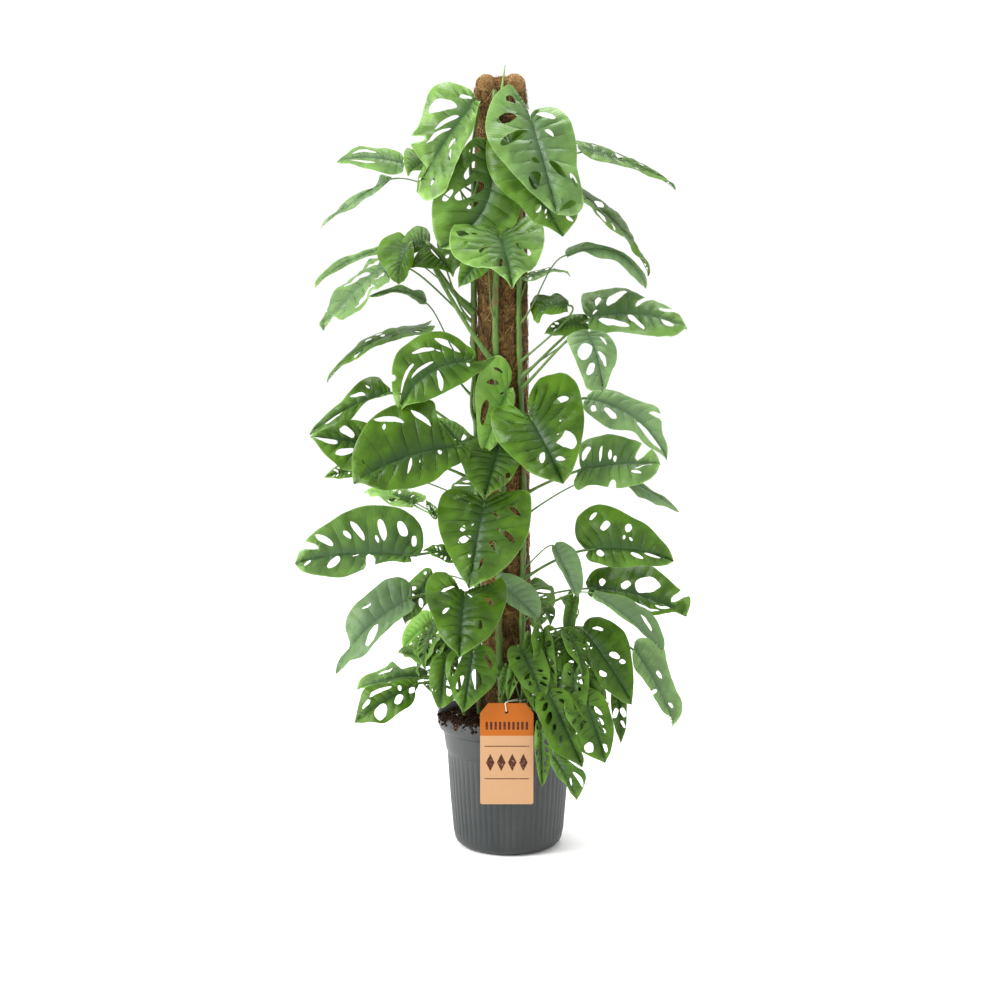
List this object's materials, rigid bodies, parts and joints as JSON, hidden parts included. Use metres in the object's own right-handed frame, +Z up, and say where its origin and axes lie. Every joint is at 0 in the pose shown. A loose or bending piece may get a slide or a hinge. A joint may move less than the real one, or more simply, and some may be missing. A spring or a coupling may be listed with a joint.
{
  "type": "potted monstera obliqua",
  "caption": "Tall potted climbing houseplant with holed heart-shaped leaves on a coir pole, in a ribbed plastic nursery pot with a blank hanging card tag.",
  "frame": {"origin": "centre of the pot's flat underside", "axes": "+Z up along the pole, -Y towards the front of the plant, where the tag hangs, +X to its right"},
  "size_m": [0.7301, 0.4558, 1.4681],
  "materials": {
    "pot_plastic": "satin moulded polypropylene",
    "potting_soil": "damp peat and bark, matte",
    "coir": "coarse coconut fibre",
    "stake_wood": "bare, unfinished",
    "stem": "smooth living stem",
    "leaf": "waxy living leaf",
    "young_leaf": "waxy young leaf",
    "tag_card": "coated card",
    "cotton_string": "twisted cotton"
  },
  "bodies": {
    "root": {"coir_wrap": "coir", "leaf_back_high": "leaf", "leaf_back_mid": "leaf", "leaf_centre_glossy": "leaf", "leaf_centre_low": "leaf", "leaf_centre_mid_back": "leaf", "leaf_centre_new": "young_leaf", "leaf_centre_right": "leaf", "leaf_left_arch": "leaf", "leaf_left_back_pale": "young_leaf", "leaf_left_big": "leaf", "leaf_left_curled": "leaf", "leaf_left_high": "leaf", "leaf_left_high_low": "leaf", "leaf_left_long": "leaf", "leaf_left_low_front": "leaf", "leaf_left_low_glossy": "leaf", "leaf_left_low_inner": "leaf", "leaf_left_low_wide": "leaf", "leaf_left_mid_front": "leaf", "leaf_left_mid_low": "leaf", "leaf_left_mid_pale": "young_leaf", "leaf_left_mid_up": "leaf", "leaf_left_pot_leaf": "leaf", "leaf_left_strip": "leaf", "leaf_left_wing": "leaf", "leaf_low_left_hang": "leaf", "leaf_pot_front_low": "leaf", "leaf_pot_right_dark": "leaf", "leaf_pot_right_light": "leaf", "leaf_pot_right_low": "leaf", "leaf_right_arch": "leaf", "leaf_right_curled": "leaf", "leaf_right_high": "leaf", "leaf_right_high_hang": "leaf", "leaf_right_lacy": "leaf", "leaf_right_low": "leaf", "leaf_right_low_hang": "leaf", "leaf_right_low_wide": "leaf", "leaf_right_mid": "leaf", "leaf_right_mid_strap": "leaf", "leaf_right_mid_up": "leaf", "leaf_right_narrow": "leaf", "leaf_top_front": "leaf", "leaf_top_heart": "leaf", "leaf_top_left": "leaf", "leaf_top_left_inner": "leaf", "leaf_top_right_strap": "leaf", "leaf_top_under": "leaf", "pot": "pot_plastic", "shoot_front": "stem", "shoot_left": "stem", "soil": "potting_soil", "stake": "stake_wood", "stem_back": "stem", "stem_front": "stem", "stem_left": "stem", "stem_right": "stem", "tag": "tag_card", "tag_string": "cotton_string"}
  },
  "joints": []
}
